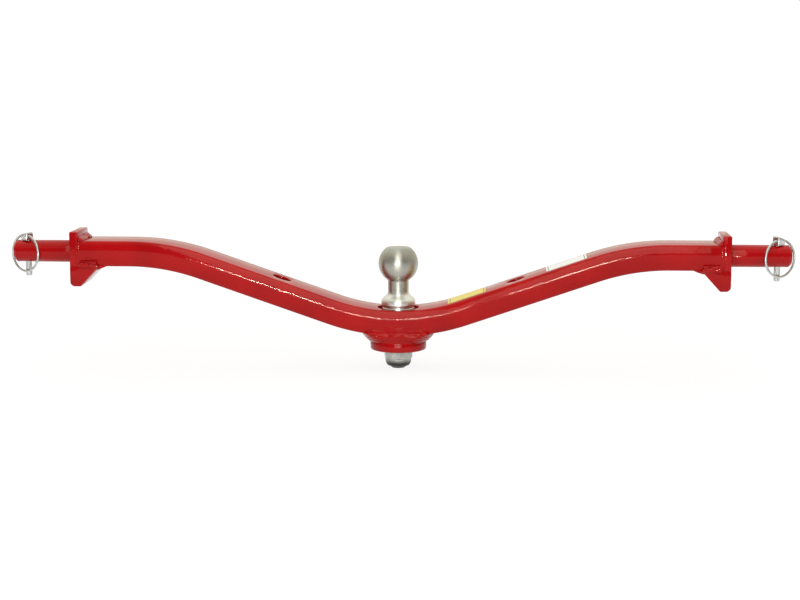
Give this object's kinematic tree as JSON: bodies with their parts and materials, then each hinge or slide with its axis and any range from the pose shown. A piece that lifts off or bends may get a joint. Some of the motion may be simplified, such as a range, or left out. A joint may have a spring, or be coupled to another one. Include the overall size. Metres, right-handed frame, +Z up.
{
  "type": "tractor drawbar",
  "caption": "Cranked tractor drawbar with a tow ball bolted through its middle and a linch-pinned hitch pin at each end, carried between a tractor's lower links.",
  "frame": {"origin": "half way between the two shoulders, on the common axis of the hitch pins", "axes": "+X along the bar towards the end with the labelled slope, +Y away from the side where the linch rings hang, +Z up, the way the ball points"},
  "size_m": [0.9916, 0.0718, 0.1729],
  "materials": {
    "red_enamel": "gloss enamel over forged and welded steel, with a slight orange peel",
    "turned_steel": "bare turned steel, satin, with fine turning marks",
    "zinc_plate": "zinc plate, satin",
    "bright_zinc": "bright zinc plate",
    "white_nylon": "moulded nylon",
    "yellow_vinyl": "plain vinyl label",
    "white_vinyl": "plain vinyl label"
  },
  "bodies": {
    "drawbar": {"cranked_bar": "red_enamel", "centre_boss": "red_enamel", "boss_weld": "red_enamel", "tow_ball": "turned_steel", "ball_lock_nut": "zinc_plate", "lock_nut_insert": "white_nylon", "yellow_label": "yellow_vinyl", "white_label": "white_vinyl", "left_end_plate": "red_enamel", "left_hitch_pin": "red_enamel", "left_pin_weld": "red_enamel", "left_stop_lug": "red_enamel", "left_plate_weld": "red_enamel", "left_lug_weld": "red_enamel", "right_end_plate": "red_enamel", "right_hitch_pin": "red_enamel", "right_pin_weld": "red_enamel", "right_stop_lug": "red_enamel", "right_plate_weld": "red_enamel", "right_lug_weld": "red_enamel"},
    "left_linch_pin": {"left_linch_pin": "bright_zinc"},
    "left_linch_ring": {"left_linch_ring": "bright_zinc"},
    "right_linch_pin": {"right_linch_pin": "bright_zinc"},
    "right_linch_ring": {"right_linch_ring": "bright_zinc"}
  },
  "joints": [
    {"name": "left_linch_lift", "type": "slide", "parent": "drawbar", "child": "left_linch_pin", "axis": [0, 0, 1], "range_m": [0, 0.07]},
    {"name": "left_ring_swing", "type": "hinge", "parent": "left_linch_pin", "child": "left_linch_ring", "pos_m": [-0.47439, -0.00382, 0.0196], "axis": [-0.848, 0.5299, 0], "range_deg": [0, 175]},
    {"name": "right_linch_lift", "type": "slide", "parent": "drawbar", "child": "right_linch_pin", "axis": [0, 0, 1], "range_m": [0, 0.07]},
    {"name": "right_ring_swing", "type": "hinge", "parent": "right_linch_pin", "child": "right_linch_ring", "pos_m": [0.47439, -0.00382, 0.0196], "axis": [-0.848, -0.5299, 0], "range_deg": [0, 175]}
  ],
  "couplings": [
    {"joint": "left_ring_swing", "follows": "left_linch_lift", "rad_per_m": 43.633},
    {"joint": "right_ring_swing", "follows": "right_linch_lift", "rad_per_m": 43.633}
  ]
}
